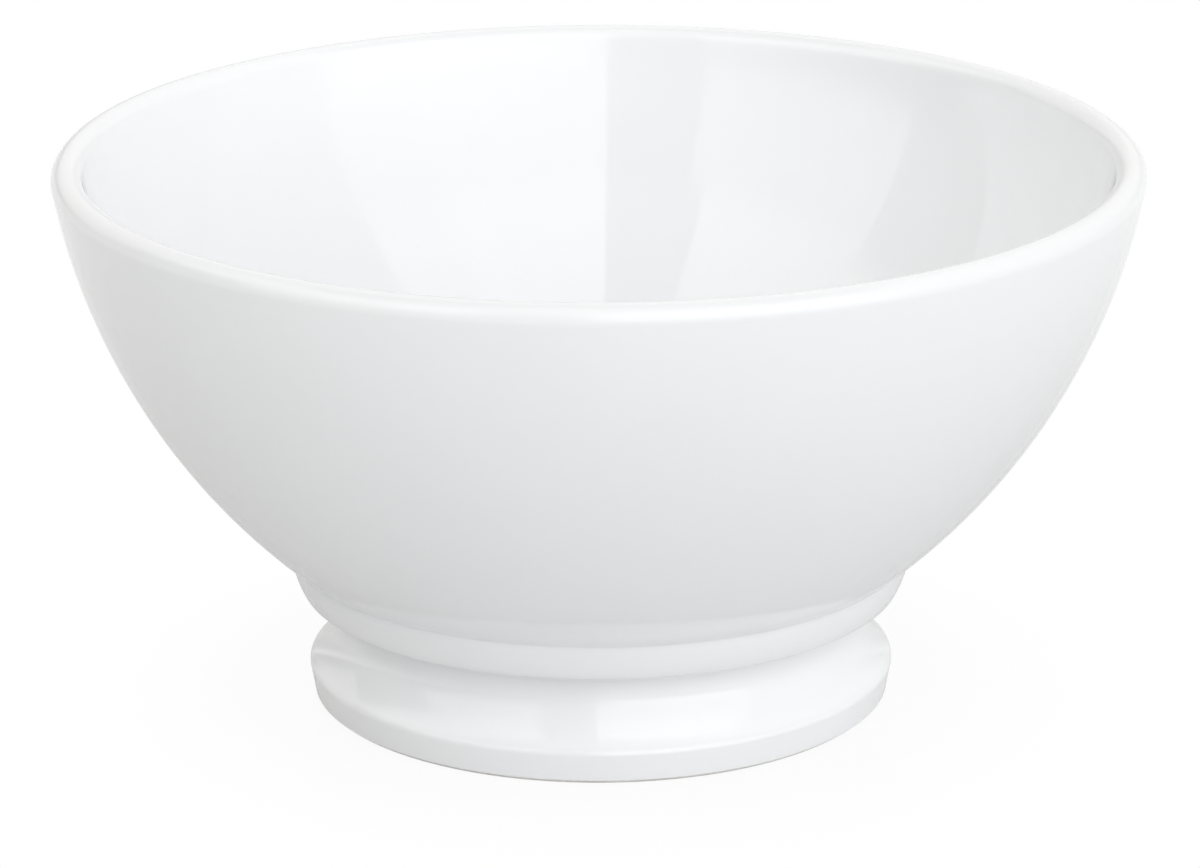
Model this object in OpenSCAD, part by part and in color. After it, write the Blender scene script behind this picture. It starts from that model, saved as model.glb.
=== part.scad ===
// Footed latte bowl in white glazed porcelain, in millimetres, +Z up.
// The origin is the centre of the foot's resting face.
// A thrown bowl and a cast hollow foot are stuck together with slip, then glazed all over
// except for the bearing ring that the foot stands on.

/* [Bowl] */
// Diameter over the rim
rim_d = 140; // [125:0.5:160]
// Height from the resting face to the top of the lip
height = 72.2; // [64:0.1:84]
// Thickness of the wall, glaze included
wall_t = 4; // [3:0.1:5]
// Radius of the lip's outer round
lip_edge_r = 2; // [1.4:0.1:2.2]
// Slope of the bowl where the foot meets it, in degrees from level
seam_slope = 39.5; // [38:0.5:41]

/* [Foot] */
// Diameter at which the foot meets the bowl
seam_d = 81; // [78:0.5:88]
// Height of the foot, up to its seam with the bowl
seam_h = 19.4; // [18:0.1:23]
// Height of the collar's rounded face, below the seam
collar_face_h = 4.9; // [4.8:0.1:6]
// Radius of the collar's rounded face, seen in section
collar_face_r = 11; // [7:0.5:30]
// How far the collar's lower edge lies inside the seam
collar_in = 1.6; // [1.4:0.1:2.3]
// Rounding of the collar's lower edge
collar_edge_r = 0.7; // [0.4:0.1:0.9]
// Rounding of the sharp line between collar and bowl
crease_r = 0.4; // [0.2:0.1:0.8]
// How far the collar's lower edge stands out past the neck
collar_overhang = 4.3; // [3.8:0.1:4.4]
// Radius of the cove between collar and neck
cove_r = 2.3; // [2:0.1:2.5]
// How far the foot's edge stands out past the neck
foot_flare = 3.6; // [2.5:0.1:5]
// Height of the foot's edge, the widest point of the flare
foot_edge_h = 4.1; // [3.2:0.1:6]
// Rounding of the foot's edge
foot_edge_r = 0.8; // [0.5:0.1:1.3]
// Draw of the foot's side below its edge, in degrees from upright
foot_draw = 10; // [4:0.5:16]

/* [Underside] */
// Thickness of the foot ring, from the foot's edge in to the mouth of the recess
ring_t = 7; // [6:0.1:9]
// Draft of the recess's side, in degrees from upright
recess_draft = 7; // [2:0.5:12]
// Rounding where the recess's side meets the underside of the bowl
recess_corner_r = 2.5; // [1.5:0.1:4]
// Rounding of both edges of the bearing ring
bearing_edge_r = 1; // [0.6:0.1:1.4]

/* [Glaze and slip] */
// Thickness of the glaze
glaze_t = 0.25; // [0.15:0.01:0.35]
// Thickness of the slip between bowl and foot
slip_t = 0.4; // [0.2:0.05:0.6]

/* [Hidden] */

// Steps round the axis
$fn = 180;
// Most that a chord may leave its arc
chord_error = 0.004;

// Directions in the section, in degrees: the section is drawn with x out from the axis and y up.
// A bend turns its outward normal from one direction to another.
outwards = 0;
upwards = 90;
inwards = 180;
downwards = -90;

function normal(direction) = [cos(direction), sin(direction)];

function direction_of(v) = atan2(v.y, v.x);

// Where two circles cross: the crossing that lies farther from the axis
function crossing(c1, r1, c2, r2) =
    let(
        span = norm(c2 - c1),
        along = (c2 - c1) / span,
        across = [along.y, -along.x],
        reach = (r1 * r1 - r2 * r2 + span * span) / (2 * span),
        rise = sqrt(r1 * r1 - reach * reach),
        side = across.x > 0 ? 1 : -1
    )
    c1 + reach * along + side * rise * across;

// A bend is an arc of the glazed outline: its centre, its radius (negative where the form is
// hollow) and the directions of the outward normal at its two ends.
function bend(centre, radius, from, to) = [centre, radius, from, to];

function bend_steps(b) =
    max(2, ceil(abs(b[3] - b[2]) / (2 * acos(1 - min(1, chord_error / abs(b[1]))))));

// Points of a bend, moved into the body by a depth
function bend_points(b, depth) =
    let(steps = bend_steps(b))
    [for (i = [0:steps]) b[0] + (b[1] - depth) * normal(b[2] + (b[3] - b[2]) * i / steps)];

// Points of a row of bends; straight stretches join one bend to the next
function outline(bends, depth) = [for (b = bends) each bend_points(b, depth)];

function reversed(points) = [for (i = [len(points) - 1:-1:0]) points[i]];

// Base: one arc about the axis, from the middle of the underside out to the seam
seam = [seam_d / 2, seam_h];
seam_out = downwards + seam_slope;
base_r = seam.x / sin(seam_slope);
base_centre = seam - base_r * normal(seam_out);

// Lip's outer round
lip_top = [rim_d / 2 - lip_edge_r, height];
lip_centre = lip_top - [0, lip_edge_r];

// Wall: one arc that runs on from the base at the seam and touches the lip's outer round
lip_offset = lip_centre - seam;
wall_r = (lip_edge_r * lip_edge_r - lip_offset * lip_offset)
    / (2 * (lip_edge_r + lip_offset * normal(seam_out)));
wall_centre = seam - wall_r * normal(seam_out);
wall_high = direction_of(lip_centre - wall_centre);

// Lip's inner round: it meets the outer one at the top and touches the inside of the wall
inside_r = wall_r - wall_t;
top_offset = lip_top - wall_centre;
lip_inner_r = (top_offset * top_offset - inside_r * inside_r) / (2 * (inside_r + top_offset.y));
lip_inner_centre = lip_top - [0, lip_inner_r];
lip_low = direction_of(lip_inner_centre - wall_centre);

// Collar: its face bulges from the lower edge to the seam
collar_corner = seam - [collar_in, collar_face_h];
face_chord = seam - collar_corner;
face_across = [face_chord.y, -face_chord.x] / norm(face_chord);
face_centre = (seam + collar_corner) / 2
    - sqrt(pow(collar_face_r, 2) - face_chord * face_chord / 4) * face_across;
edge_y = collar_corner.y + collar_edge_r;
edge_centre = [
    face_centre.x + sqrt(pow(collar_face_r - collar_edge_r, 2) - pow(edge_y - face_centre.y, 2)),
    edge_y
];
face_low = direction_of(edge_centre - face_centre);

// Crease between collar and wall, touching both
crease_centre = crossing(wall_centre, wall_r + crease_r, face_centre, collar_face_r + crease_r);
face_high = direction_of(crease_centre - face_centre);
wall_low = direction_of(crease_centre - wall_centre);

// Neck: a cove under the collar, then a hollow flare down to the foot's edge
neck = collar_corner - [collar_overhang, cove_r];
cove_centre = neck + [cove_r, 0];
foot_edge_centre = [neck.x + foot_flare - foot_edge_r, foot_edge_h];
flare_up = neck.y - foot_edge_h;
flare_turn = 2 * atan(foot_flare / flare_up);
flare_r = flare_up / sin(flare_turn) - foot_edge_r;
flare_centre = foot_edge_centre + (foot_edge_r + flare_r) * normal(flare_turn);

// Bearing ring: rounded edges, the bare body at height zero
bearing_y = bearing_edge_r - glaze_t;
side_start = foot_edge_centre + (foot_edge_r - bearing_edge_r) * normal(-foot_draw);
bearing_outer_centre = side_start
    - (side_start.y - bearing_y) / cos(foot_draw) * [sin(foot_draw), cos(foot_draw)];

// Recess: a drafted side, a rounded corner against the bowl's underside
recess_in = recess_draft - inwards;
recess_mouth = neck.x + foot_flare - ring_t;
bearing_inner_centre = [recess_mouth + bearing_edge_r, bearing_y];
draft_slope = [-sin(recess_draft), cos(recess_draft)];
corner_line = bearing_inner_centre + (bearing_edge_r + recess_corner_r) * normal(recess_in);
to_base = base_centre - corner_line;
corner_reach = base_r + recess_corner_r;
corner_along = to_base * draft_slope
    - sqrt(pow(to_base * draft_slope, 2) - to_base * to_base + corner_reach * corner_reach);
corner_centre = corner_line + corner_along * draft_slope;
base_out = direction_of(corner_centre - base_centre);

// Bends of the foot's outside, from its resting face up to the collar's face
bearing_outer = bend(bearing_outer_centre, bearing_edge_r, downwards, -foot_draw);
foot_edge = bend(foot_edge_centre, foot_edge_r, -foot_draw, flare_turn);
flare = bend(flare_centre, -flare_r, flare_turn, outwards);
cove = bend(cove_centre, -cove_r, outwards, downwards);
collar_edge = bend(edge_centre, collar_edge_r, downwards, face_low);
mouldings = [foot_edge, flare, cove, collar_edge];

// Bends of the bowl, from the crease over the lip to the middle of the inside
crease = bend(crease_centre, -crease_r, face_high, wall_low);
wall = bend(wall_centre, wall_r, wall_low, wall_high);
lip_outer = bend(lip_centre, lip_edge_r, wall_high, upwards);
lip_inner = bend(lip_inner_centre, lip_inner_r, upwards, inwards + lip_low);
inner_wall = bend(wall_centre, -inside_r, inwards + lip_low, inwards + seam_out);
inner_base = bend(base_centre, wall_t - base_r, inwards + seam_out, upwards);
cup = [wall, lip_outer, lip_inner, inner_wall, inner_base];

// Bends under the bowl, from the axis out to the seam and on to the crease
dome = bend(base_centre, base_r, downwards, base_out);
seat = bend(base_centre, base_r, base_out, seam_out);
wall_foot = bend(wall_centre, wall_r, seam_out, wall_low);

// The foot's own seat lies a layer of slip below the bowl
seat_depth = glaze_t - slip_t;
face_cut = crossing(base_centre, base_r - seat_depth, face_centre, collar_face_r - glaze_t);
face_split = direction_of(face_cut - face_centre);
collar_face = bend(face_centre, collar_face_r, face_low, face_split);
collar_slip = bend(face_centre, collar_face_r, face_split, face_high);
corner_cut = crossing(base_centre, base_r - seat_depth, corner_centre, recess_corner_r + glaze_t);
corner_split = direction_of(corner_centre - corner_cut);
corner_base = direction_of(corner_centre - base_centre);
foot_seat = bend(
    base_centre, base_r, direction_of(face_cut - base_centre), direction_of(corner_cut - base_centre)
);

// Bends of the recess, from the bowl's underside down to the resting face
corner_slip = bend(corner_centre, -recess_corner_r, corner_base, corner_split);
corner_foot = bend(corner_centre, -recess_corner_r, corner_split, recess_in);
bearing_inner = bend(bearing_inner_centre, bearing_edge_r, recess_in, downwards);

module turned(points) rotate_extrude() polygon(points);

// Thrown bowl, bare porcelain
module bowl()
    color("whitesmoke")
        turned(outline(concat([dome, seat, wall_foot], cup), glaze_t));

// Cast foot, bare porcelain, standing on its bearing ring
module foot()
    color("ivory")
        turned(concat(
            outline([bearing_outer], glaze_t),
            outline(mouldings, glaze_t),
            outline([collar_face], glaze_t),
            outline([foot_seat], seat_depth),
            outline([corner_foot, bearing_inner], glaze_t)
        ));

// Slip that fills the seat between bowl and foot
module slip_joint()
    color("gainsboro")
        turned(concat(
            outline([collar_slip, crease], glaze_t),
            reversed(outline([seat, wall_foot], glaze_t)),
            outline([corner_slip], glaze_t),
            reversed(outline([foot_seat], seat_depth))
        ));

// A coat follows bends at the surface and comes back along the bare body
module coat(bends)
    turned(concat(outline(bends, 0), reversed(outline(bends, glaze_t))));

// Where the outer glaze stops, just above the bearing ring
glaze_stop = bend(bearing_outer_centre, bearing_edge_r, -foot_draw, -foot_draw);

// Glaze over the foot's outside, the wall, the lip and the inside
module glaze_coat()
    color("white")
        coat(concat([glaze_stop], mouldings, [collar_face, collar_slip, crease], cup));

// Where the recess's glaze stops
recess_stop = bend(bearing_inner_centre, bearing_edge_r, recess_in, recess_in);

// Glaze in the recess under the foot
module glaze_underside()
    color("white")
        coat([dome, corner_slip, corner_foot, recess_stop]);

bowl();
foot();
slip_joint();
glaze_coat();
glaze_underside();
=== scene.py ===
"""A footed latte bowl in white glazed porcelain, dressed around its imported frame.

Every piece is turned from the section of the node that it stands for. Lengths are in metres.
"""

import math

import bmesh
import bpy
from mathutils import Matrix, Vector


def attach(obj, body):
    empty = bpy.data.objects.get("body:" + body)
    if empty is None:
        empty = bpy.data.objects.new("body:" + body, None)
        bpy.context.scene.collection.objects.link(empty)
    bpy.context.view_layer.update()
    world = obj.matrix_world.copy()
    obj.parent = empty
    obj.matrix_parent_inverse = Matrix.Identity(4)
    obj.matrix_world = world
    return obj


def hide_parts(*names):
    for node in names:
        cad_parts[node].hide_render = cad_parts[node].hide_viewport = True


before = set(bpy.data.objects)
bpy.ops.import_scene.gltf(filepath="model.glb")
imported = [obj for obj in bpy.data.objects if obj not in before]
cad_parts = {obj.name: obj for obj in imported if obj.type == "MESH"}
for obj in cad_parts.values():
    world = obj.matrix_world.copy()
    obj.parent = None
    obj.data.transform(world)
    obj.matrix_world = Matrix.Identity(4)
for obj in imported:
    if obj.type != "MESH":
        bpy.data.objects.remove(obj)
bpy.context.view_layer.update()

MM = 0.001
MICRON = 0.000001
DEGREES = 180 / math.pi

# Camera, from the photograph's perspective
PHOTO_WIDTH_PX = 1200
FOCAL_LENGTH_PX = 5652.9
SENSOR_WIDTH = 36.0
CAMERA_PLACE = Vector((0.0, -0.700, 0.2600))
CAMERA_PITCH_DOWN = 0.3120
CAMERA_ROLL = -0.0041
CAMERA_CLIP_START = 0.01

# Meshes. The reaches say how far the bends of an outline count as near
ON_PLANE = 0.001 * MM
VISIBLE_STEPS = 256
HIDDEN_STEPS = 128
SHARP_TURN = math.radians(40)
POOL_REACH = 0.55 * MM
# The wider reach sets how far the painted light in hollows spreads
PAINTED_HOLLOW_LIGHT_REACH = 2.4 * MM
FURTHEST_REACHES = 4

# Noise that varies a surface: the part of its range that counts
NOISE_SPAN = (0.3, 0.7)

# Glaze. A noise is size, detail, seed. Depths of relief are in micrometres
GLAZE_WHITE = (0.842, 0.848, 0.854)
GLAZE_SHADE = (0.833, 0.839, 0.846)
GLAZE_POOLED = (0.830, 0.842, 0.852)
# Painted light: a whiter colour laid in wide hollows, which lifts the shade in the neck and creases
GLAZE_PAINTED_HOLLOW_LIGHT = (0.868, 0.875, 0.881)
GLAZE_THIN = (0.820, 0.825, 0.829)
GLAZE_IOR = 1.5
GLAZE_ROUGHNESS = (0.015, 0.040)
POOL_STRENGTH = 1.5
PAINTED_HOLLOW_LIGHT_STRENGTH = 1.2
EDGE_WEAR = 0.12
CLOUD_NOISE = (28 * MM, 3.0, 1.0)
HAZE_NOISE = (9 * MM, 4.0, 3.0)
GLAZE_WAVES = (  # depth, noise
    (46.0, (34 * MM, 0.0, 4.0)),
    (9.0, (13 * MM, 1.0, 5.0)),
    (1.6, (4 * MM, 1.0, 6.0)),
    (0.22, (1.1 * MM, 0.0, 7.0)),
)
PIT_NOISE = (1.3 * MM, 0.0, 2.0)
PIT_LEVELS = (0.86, 0.91)
PIT_DEPTH = 0.3
PIT_COLOUR = (0.832, 0.835, 0.836)

# Rings that the profile tool leaves. The drift bends them, in radians
RING_PERIOD = 4.6 * MM
RING_DEPTH = 0.5
RING_DRIFT = 9.0
RING_DRIFT_NOISE = (60 * MM, 1.0)
GLAZE_RING_SEED = 8.0

# Bare body and slip. A noise is size, detail
BISQUE_LIGHT = (0.815, 0.800, 0.772)
BISQUE_DARK = (0.760, 0.742, 0.708)
BISQUE_RUBBED = (0.600, 0.590, 0.570)
SLIP_LIGHT = (0.790, 0.776, 0.750)
SLIP_DARK = (0.730, 0.712, 0.680)
BISQUE_IOR = 1.45
BISQUE_ROUGHNESS = (0.66, 0.82)
MOTTLE_NOISE = (6 * MM, 4.0)
GRAIN_NOISE = (0.4 * MM, 2.0)
GRAIN_DARK = (0.6, 0.8)
GRAIN_TINT = 0.5
GRAIN_DEPTH = 9.0
GRAIN_DEPTH_RUBBED = 4.5
RUB_HEIGHT = 0.35 * MM
RUB_NOISE = (3 * MM, 3.0)
RUB_PATCHES = (0.42, 0.62)
RUB_TINT = 0.45
RUB_POLISH = 0.18
BOWL_SEED, FOOT_SEED, SLIP_SEED = 11.0, 15.0, 19.0

# Floor. Each pair of distances from its middle runs from the paper to plain white. Next to the
# bowl, what the camera sees is already white by this share
FLOOR_HALF_WIDTH = 4.0
FLOOR_DROP = 0.01 * MM
FLOOR_COLOUR = (0.72, 0.72, 0.72)
FLOOR_ROUGHNESS = 0.12
FLOOR_IOR = 1.5
SEEN_WHITE = (0.040, 0.069)
SEEN_SHARE = 0.92
ONWARD_WHITE = (0.07, 0.30)
BACKGROUND_WHITE = (1.0, 1.0, 1.0)

# Light, from direction alone. Angles are in degrees: up from the horizon, and around from the
# front, positive to the right. Each band of the room has its lowest and highest angle, how soft
# the edges between its panels are, and the panels: the angle at which each starts, and its level.
LIGHT_BANDS = (
    (-4.0, 8.0, 16.0, ((-180.0, 0.52), (-90.0, 0.05), (0.0, 2.90), (62.0, 1.10), (110.0, 0.80))),
    (8.0, 32.0, 1.5, (
        (-180.0, 1.03), (-120.0, 0.38), (-79.0, 1.31), (-25.0, 0.28), (-2.0, 1.94), (43.0, 1.70),
        (67.0, 1.06), (120.0, 1.08),
    )),
    (32.0, 58.0, 1.5, (
        (-180.0, 1.03), (-120.0, 1.66), (-73.0, 1.85), (-61.0, 1.95), (-29.0, 0.57), (-2.0, 2.42),
        (43.0, 2.18), (67.0, 1.10), (120.0, 1.08),
    )),
    (58.0, 98.0, 30.0, ((-180.0, 0.26), (-120.0, 0.41), (-60.0, 0.81), (60.0, 0.05), (120.0, 0.26))),
)
BAND_EDGE = 8.0
KEY_LEFT, KEY_RIGHT, KEY_EDGE = -2.0, 67.0, 1.5
KEY_COLOUR = (0.985, 1.0, 1.013)
ROOM_COLOUR = (1.012, 1.0, 0.990)
HORIZON_TOP = 1.5


def section(node):
    """Outline where the half-plane y = 0, x >= 0 cuts a turned node, as (radius, height) in order.

    A solid that reaches the axis gives a row from one point on the axis to the other, any other a loop.
    """
    cut = bmesh.new()
    cut.from_mesh(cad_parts[node].data)
    bmesh.ops.remove_doubles(cut, verts=cut.verts, dist=ON_PLANE)
    links = {}
    for edge in cut.edges:
        a, b = edge.verts
        flat = max(abs(a.co.y), abs(b.co.y)) < ON_PLANE and min(a.co.x, b.co.x) > -ON_PLANE
        if flat and max(a.co.x, b.co.x) > ON_PLANE:
            links.setdefault(a, []).append(b)
            links.setdefault(b, []).append(a)
    ends = [v for v in links if len(links[v]) == 1]
    start = min(ends or links, key=lambda v: (v.co.z, v.co.x))
    row, before = [start], None
    while True:
        onward = [v for v in links[row[-1]] if v is not before]
        if not onward:
            break
        before, step = row[-1], max(onward, key=lambda v: v.co.x)
        if step is start:
            break
        row.append(step)
    outline = [(max(v.co.x, 0.0), v.co.z) for v in row]
    cut.free()
    return outline


def turns(outline, closed):
    """Turn at each point of an outline, in radians, positive where the body stands out."""
    count = len(outline)
    area = sum(
        outline[i - 1][0] * outline[i][1] - outline[i][0] * outline[i - 1][1] for i in range(count)
    )
    side = 1 if area > 0 else -1
    result = []
    for i, here in enumerate(outline):
        if not closed and i in (0, count - 1):
            result.append(0.0)
            continue
        back, on = outline[i - 1], outline[(i + 1) % count]
        ahead = (on[0] - here[0], on[1] - here[1])
        behind = (here[0] - back[0], here[1] - back[1])
        cross = behind[0] * ahead[1] - behind[1] * ahead[0]
        dot = behind[0] * ahead[0] + behind[1] * ahead[1]
        result.append(side * math.atan2(cross, dot))
    return result


def hollowness(outline, closed, reach):
    """How hollow an outline is around each point, from -1 on an edge to 1 in a hollow."""
    turned_by = turns(outline, closed)
    travelled, length = [0.0], 0.0
    for back, here in zip(outline, outline[1:]):
        length += math.dist(back, here)
        travelled.append(length)
    values = []
    for here in travelled:
        total = 0.0
        for turn, there in zip(turned_by, travelled):
            apart = (here - there) / reach
            if abs(apart) < FURTHEST_REACHES:
                total -= turn * math.exp(-apart * apart / 2)
        values.append(max(-1.0, min(1.0, total)))
    return values


def turned_piece(name, node, steps, material):
    """A smooth body turned from a node's section, which rides on the part and stands for that node."""
    outline = section(node)
    open_row = outline[0][0] < ON_PLANE and outline[-1][0] < ON_PLANE
    closed = not open_row
    sharp = [abs(turn) > SHARP_TURN for turn in turns(outline, closed)]
    pool = hollowness(outline, closed, POOL_REACH)
    # The wide hollowness is the mask for the glaze's painted light in hollows
    hollow_light_mask = hollowness(outline, closed, PAINTED_HOLLOW_LIGHT_REACH)
    body = bmesh.new()
    pool_layer = body.verts.layers.float.new("pool")
    hollow_light_layer = body.verts.layers.float.new("hollow_light_mask")
    rings = []
    for (radius, height), pooled, hollow_light_amount in zip(outline, pool, hollow_light_mask):
        count = 1 if radius < ON_PLANE else steps
        ring = []
        for k in range(count):
            angle = 2 * math.pi * k / steps
            corner = body.verts.new((radius * math.cos(angle), radius * math.sin(angle), height))
            corner[pool_layer] = pooled
            corner[hollow_light_layer] = hollow_light_amount
            ring.append(corner)
        rings.append(ring)
    pairs = list(zip(rings, rings[1:])) + ([(rings[-1], rings[0])] if closed else [])
    for lower, upper in pairs:
        for k in range(steps):
            corners = [lower[k % len(lower)], lower[(k + 1) % len(lower)]]
            corners += [upper[(k + 1) % len(upper)], upper[k % len(upper)]]
            body.faces.new(list(dict.fromkeys(corners)))
    bmesh.ops.recalc_face_normals(body, faces=body.faces)
    for face in body.faces:
        face.smooth = True
    for ring, is_sharp in zip(rings, sharp):
        if is_sharp:
            for k in range(len(ring)):
                body.edges.get((ring[k], ring[(k + 1) % len(ring)])).smooth = False
    mesh = bpy.data.meshes.new(name)
    body.to_mesh(mesh)
    body.free()
    piece = bpy.data.objects.new(name, mesh)
    bpy.context.scene.collection.objects.link(piece)
    mesh.materials.append(material)
    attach(piece, "root")
    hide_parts(node)


class Nodes:
    """Adds nodes to one node tree. An input may be a number, a colour of three numbers or a socket."""

    def __init__(self, tree):
        self.tree = tree
        tree.nodes.clear()

    def add(self, kind, **settings):
        node = self.tree.nodes.new(kind)
        for key, value in settings.items():
            setattr(node, key, value)
        return node

    def feed(self, socket, value):
        if isinstance(value, bpy.types.NodeSocket):
            self.tree.links.new(value, socket)
        elif isinstance(value, tuple) and socket.type == "RGBA":
            socket.default_value = (*value, 1.0)
        else:
            socket.default_value = value

    def math(self, operation, *values, clamp=False):
        node = self.add("ShaderNodeMath", operation=operation, use_clamp=clamp)
        for socket, value in zip(node.inputs, values):
            self.feed(socket, value)
        return node.outputs[0]

    def total(self, *values):
        result = values[0]
        for value in values[1:]:
            result = self.math("ADD", result, value)
        return result

    def product(self, *values):
        result = values[0]
        for value in values[1:]:
            result = self.math("MULTIPLY", result, value)
        return result

    def step(self, value, start, end):
        """Rises smoothly from 0 where value is start to 1 where it is end."""
        return self.spread(value, start, end, 0.0, 1.0, "SMOOTHSTEP")

    def spread(self, value, start, end, low, high, form="LINEAR"):
        """Maps start..end to low..high."""
        node = self.add("ShaderNodeMapRange", interpolation_type=form)
        for socket, given in zip(node.inputs, (value, start, end, low, high)):
            self.feed(socket, given)
        return node.outputs[0]

    def between(self, value, low, high, edge):
        """1 from low to high, with soft edges of a given width centred on both."""
        half = edge / 2
        rise = self.step(value, low - half, low + half)
        fall = self.step(value, high + half, high - half)
        return self.product(rise, fall)

    def blend(self, factor, first, second):
        """Mixes two colours. The node's sockets for colours are inputs 6 and 7 and output 2."""
        node = self.add("ShaderNodeMix", data_type="RGBA")
        for index, value in ((0, factor), (6, first), (7, second)):
            self.feed(node.inputs[index], value)
        return node.outputs[2]

    def noise(self, place, size, detail, seed):
        """Noise from 0 to 1 whose lumps are about size metres across."""
        node = self.add("ShaderNodeTexNoise", noise_dimensions="4D")
        for key, value in (("Vector", place), ("W", seed), ("Scale", 1 / size), ("Detail", detail)):
            self.feed(node.inputs[key], value)
        return node.outputs["Fac"]

    def relief(self, height):
        """A normal from a height in micrometres."""
        node = self.add("ShaderNodeBump")
        for key, value in (("Height", height), ("Strength", 1.0), ("Distance", MICRON)):
            self.feed(node.inputs[key], value)
        return node.outputs[0]


def new_material(name):
    material = bpy.data.materials.new(name)
    material.use_nodes = True
    return material, Nodes(material.node_tree)


def finish_material(nodes, ior, **inputs):
    """Gives a tree its shader and output."""
    shader = nodes.add("ShaderNodeBsdfPrincipled")
    shader.inputs["IOR"].default_value = ior
    for key, value in inputs.items():
        nodes.feed(shader.inputs[key.replace("_", " ")], value)
    nodes.feed(nodes.add("ShaderNodeOutputMaterial").inputs[0], shader.outputs[0])


def wave_rings(nodes, place, seed):
    """Faint rings that a profile tool leaves on a turning bowl, as height from -1 to 1."""
    reach = nodes.add("ShaderNodeVectorMath", operation="LENGTH")
    nodes.feed(reach.inputs[0], place)
    drift = nodes.product(nodes.noise(place, *RING_DRIFT_NOISE, seed), RING_DRIFT)
    turn = nodes.total(nodes.product(reach.outputs["Value"], 2 * math.pi / RING_PERIOD), drift)
    return nodes.math("SINE", turn)


def glaze_material():
    """White glaze, wavy and glossy. It is cooler where it has pooled, greyer and less glossy where it
    runs thin over an edge, and has painted light in wide hollows: a whiter colour that lifts their
    shade.
    """
    material, nodes = new_material("glazed_porcelain")
    place = nodes.add("ShaderNodeTexCoord").outputs["Object"]
    pool = nodes.add("ShaderNodeAttribute", attribute_name="pool").outputs["Fac"]
    hollow = nodes.math("MULTIPLY", pool, POOL_STRENGTH, clamp=True)
    edge = nodes.math("MULTIPLY", pool, -POOL_STRENGTH, clamp=True)

    cloud = nodes.spread(nodes.noise(place, *CLOUD_NOISE), *NOISE_SPAN, 0.0, 1.0)
    colour = nodes.blend(cloud, GLAZE_WHITE, GLAZE_SHADE)
    # Painted light in wide hollows: the colour whitens there, lifting their shade
    hollow_light_mask = nodes.add("ShaderNodeAttribute", attribute_name="hollow_light_mask").outputs["Fac"]
    hollow_light_amount = nodes.math("MULTIPLY", hollow_light_mask, PAINTED_HOLLOW_LIGHT_STRENGTH, clamp=True)
    colour = nodes.blend(hollow_light_amount, colour, GLAZE_PAINTED_HOLLOW_LIGHT)
    colour = nodes.blend(hollow, colour, GLAZE_POOLED)
    colour = nodes.blend(edge, colour, GLAZE_THIN)
    pits = nodes.step(nodes.noise(place, *PIT_NOISE), *PIT_LEVELS)
    colour = nodes.blend(pits, colour, PIT_COLOUR)

    haze = nodes.spread(nodes.noise(place, *HAZE_NOISE), *NOISE_SPAN, *GLAZE_ROUGHNESS)
    roughness = nodes.total(haze, nodes.product(edge, EDGE_WEAR))

    height = nodes.total(
        *(nodes.product(nodes.noise(place, *noise), depth) for depth, noise in GLAZE_WAVES),
        nodes.product(wave_rings(nodes, place, GLAZE_RING_SEED), RING_DEPTH),
        nodes.product(pits, -PIT_DEPTH),
    )
    finish_material(
        nodes, GLAZE_IOR, Base_Color=colour, Roughness=roughness, Normal=nodes.relief(height)
    )
    return material


def bisque_material(name, light, dark, rubbed, seed):
    """Bare fired body: matt, finely sandy, and rubbed smoother and greyer where it meets the table."""
    material, nodes = new_material(name)
    place = nodes.add("ShaderNodeTexCoord").outputs["Object"]
    split = nodes.add("ShaderNodeSeparateXYZ")
    nodes.feed(split.inputs[0], place)

    mottle = nodes.spread(nodes.noise(place, *MOTTLE_NOISE, seed), *NOISE_SPAN, 0.0, 1.0)
    grain = nodes.noise(place, *GRAIN_NOISE, seed + 1)
    colour = nodes.blend(mottle, light, dark)
    colour = nodes.blend(nodes.spread(grain, *GRAIN_DARK, 0.0, GRAIN_TINT), colour, dark)

    near_table = nodes.step(split.outputs["Z"], RUB_HEIGHT, 0.0)
    patches = nodes.step(nodes.noise(place, *RUB_NOISE, seed + 2), *RUB_PATCHES)
    rub = nodes.product(near_table, patches)
    colour = nodes.blend(nodes.product(rub, RUB_TINT), colour, rubbed)

    rough = nodes.spread(grain, *NOISE_SPAN, *BISQUE_ROUGHNESS)
    roughness = nodes.math("SUBTRACT", rough, nodes.product(rub, RUB_POLISH))
    sand = nodes.product(grain, nodes.spread(rub, 0.0, 1.0, GRAIN_DEPTH, GRAIN_DEPTH_RUBBED))
    height = nodes.total(sand, nodes.product(wave_rings(nodes, place, seed), RING_DEPTH))
    finish_material(
        nodes, BISQUE_IOR, Base_Color=colour, Roughness=roughness, Normal=nodes.relief(height)
    )
    return material


def background_rays(nodes):
    """1 for the rays from the camera, and 1 for those that reflections and clear things send on."""
    path = nodes.add("ShaderNodeLightPath")
    onward = nodes.math("MAXIMUM", path.outputs["Is Glossy Ray"], path.outputs["Is Transmission Ray"])
    return path.outputs["Is Camera Ray"], onward


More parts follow.
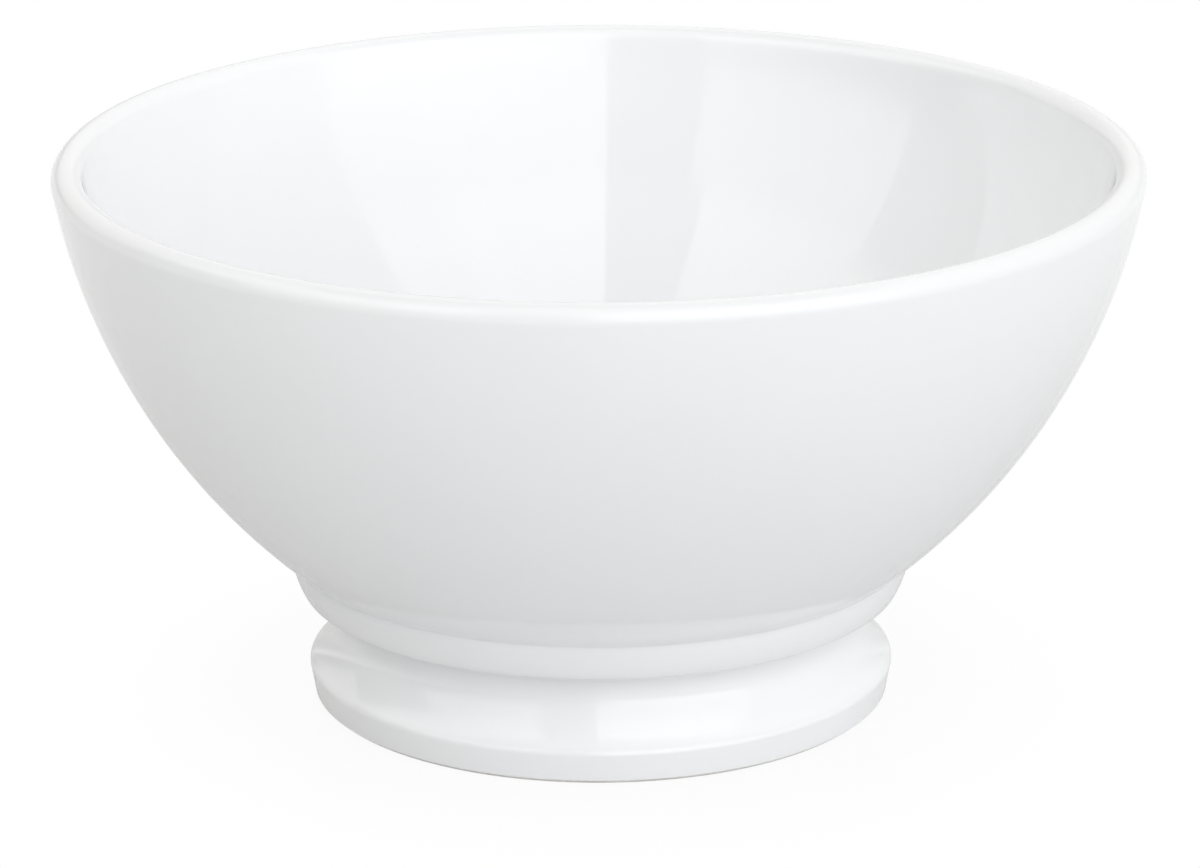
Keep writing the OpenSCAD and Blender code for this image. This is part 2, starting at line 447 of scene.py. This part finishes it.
def floor_plane():
    """Pale floor. It takes the bowl's shadow near the bowl and is plain white further out.

    It lies a hair under the bearing ring, so that the two faces don't coincide.
    """
    body = bmesh.new()
    h, z = FLOOR_HALF_WIDTH, -FLOOR_DROP
    corners = [body.verts.new(p) for p in ((-h, -h, z), (h, -h, z), (h, h, z), (-h, h, z))]
    body.faces.new(corners)
    mesh = bpy.data.meshes.new("floor")
    body.to_mesh(mesh)
    body.free()
    floor = bpy.data.objects.new("floor", mesh)
    bpy.context.scene.collection.objects.link(floor)

    material, nodes = new_material("floor_paper")
    away = nodes.add("ShaderNodeVectorMath", operation="LENGTH")
    nodes.feed(away.inputs[0], nodes.add("ShaderNodeTexCoord").outputs["Object"])
    reach = away.outputs["Value"]
    camera_ray, onward_ray = background_rays(nodes)
    seen = nodes.product(camera_ray, nodes.spread(reach, *SEEN_WHITE, SEEN_SHARE, 1.0, "SMOOTHSTEP"))
    white_share = nodes.total(seen, nodes.product(onward_ray, nodes.step(reach, *ONWARD_WHITE)))

    paper = nodes.add("ShaderNodeBsdfPrincipled")
    look = {"Base Color": FLOOR_COLOUR, "Roughness": FLOOR_ROUGHNESS, "IOR": FLOOR_IOR}
    for key, value in look.items():
        nodes.feed(paper.inputs[key], value)
    glow = nodes.add("ShaderNodeEmission")
    nodes.feed(glow.inputs[0], BACKGROUND_WHITE)
    mix = nodes.add("ShaderNodeMixShader")
    for socket, value in zip(mix.inputs, (white_share, paper.outputs[0], glow.outputs[0])):
        nodes.feed(socket, value)
    nodes.feed(nodes.add("ShaderNodeOutputMaterial").inputs[0], mix.outputs[0])
    mesh.materials.append(material)


def studio_light():
    """Tall softboxes in front with a dark gap between them, in a room of bright and dim panels."""
    world = bpy.data.worlds.new("studio")
    bpy.context.scene.world = world
    world.use_nodes = True
    nodes = Nodes(world.node_tree)
    split = nodes.add("ShaderNodeSeparateXYZ")
    nodes.feed(split.inputs[0], nodes.add("ShaderNodeTexCoord").outputs["Generated"])
    x, y, z = split.outputs
    around = nodes.product(nodes.math("ARCTAN2", x, nodes.product(y, -1.0)), DEGREES)
    up = nodes.product(nodes.math("ARCSINE", z), DEGREES)

    bands = []
    for low, high, edge, panels in LIGHT_BANDS:
        steps = [panels[0][1]]
        for (_, before), (start, level) in zip(panels, panels[1:]):
            ends = (start - edge / 2, start + edge / 2)
            steps.append(nodes.spread(around, *ends, 0.0, level - before, "SMOOTHSTEP"))
        bands.append(nodes.product(nodes.total(*steps), nodes.between(up, low, high, BAND_EDGE)))
    key = nodes.between(around, KEY_LEFT, KEY_RIGHT, KEY_EDGE)
    lit = nodes.add("ShaderNodeVectorMath", operation="SCALE")
    nodes.feed(lit.inputs[0], nodes.blend(key, ROOM_COLOUR, KEY_COLOUR))
    nodes.feed(lit.inputs["Scale"], nodes.total(*bands))

    camera_ray, onward_ray = background_rays(nodes)
    low = nodes.step(up, HORIZON_TOP, 0.0)
    white = nodes.math("MAXIMUM", camera_ray, nodes.product(onward_ray, low))
    background = nodes.add("ShaderNodeBackground")
    nodes.feed(background.inputs[0], nodes.blend(white, lit.outputs[0], BACKGROUND_WHITE))
    nodes.feed(nodes.add("ShaderNodeOutputWorld").inputs[0], background.outputs[0])


def camera():
    data = bpy.data.cameras.new("camera")
    data.sensor_width = SENSOR_WIDTH
    data.lens = SENSOR_WIDTH * FOCAL_LENGTH_PX / PHOTO_WIDTH_PX
    data.clip_start = CAMERA_CLIP_START
    eye = bpy.data.objects.new("camera", data)
    tilt = Matrix.Rotation(math.pi / 2 - CAMERA_PITCH_DOWN, 4, "X")
    turn = tilt @ Matrix.Rotation(CAMERA_ROLL, 4, "Z")
    eye.matrix_world = Matrix.Translation(CAMERA_PLACE) @ turn
    bpy.context.scene.collection.objects.link(eye)
    bpy.context.scene.camera = eye


def view_settings():
    bpy.context.scene.view_settings.view_transform = "Standard"


glaze = glaze_material()
bowl_body = bisque_material("bisque_bowl", BISQUE_LIGHT, BISQUE_DARK, BISQUE_RUBBED, BOWL_SEED)
foot_body = bisque_material("bisque_foot", BISQUE_LIGHT, BISQUE_DARK, BISQUE_RUBBED, FOOT_SEED)
slip = bisque_material("luting_slip", SLIP_LIGHT, SLIP_DARK, SLIP_DARK, SLIP_SEED)
turned_piece("glazed_surface", "glaze_coat", VISIBLE_STEPS, glaze)
turned_piece("recess_glaze", "glaze_underside", VISIBLE_STEPS, glaze)
turned_piece("thrown_bowl", "bowl", HIDDEN_STEPS, bowl_body)
turned_piece("cast_foot", "foot", VISIBLE_STEPS, foot_body)
turned_piece("luting_slip", "slip_joint", HIDDEN_STEPS, slip)
floor_plane()
camera()
studio_light()
view_settings()
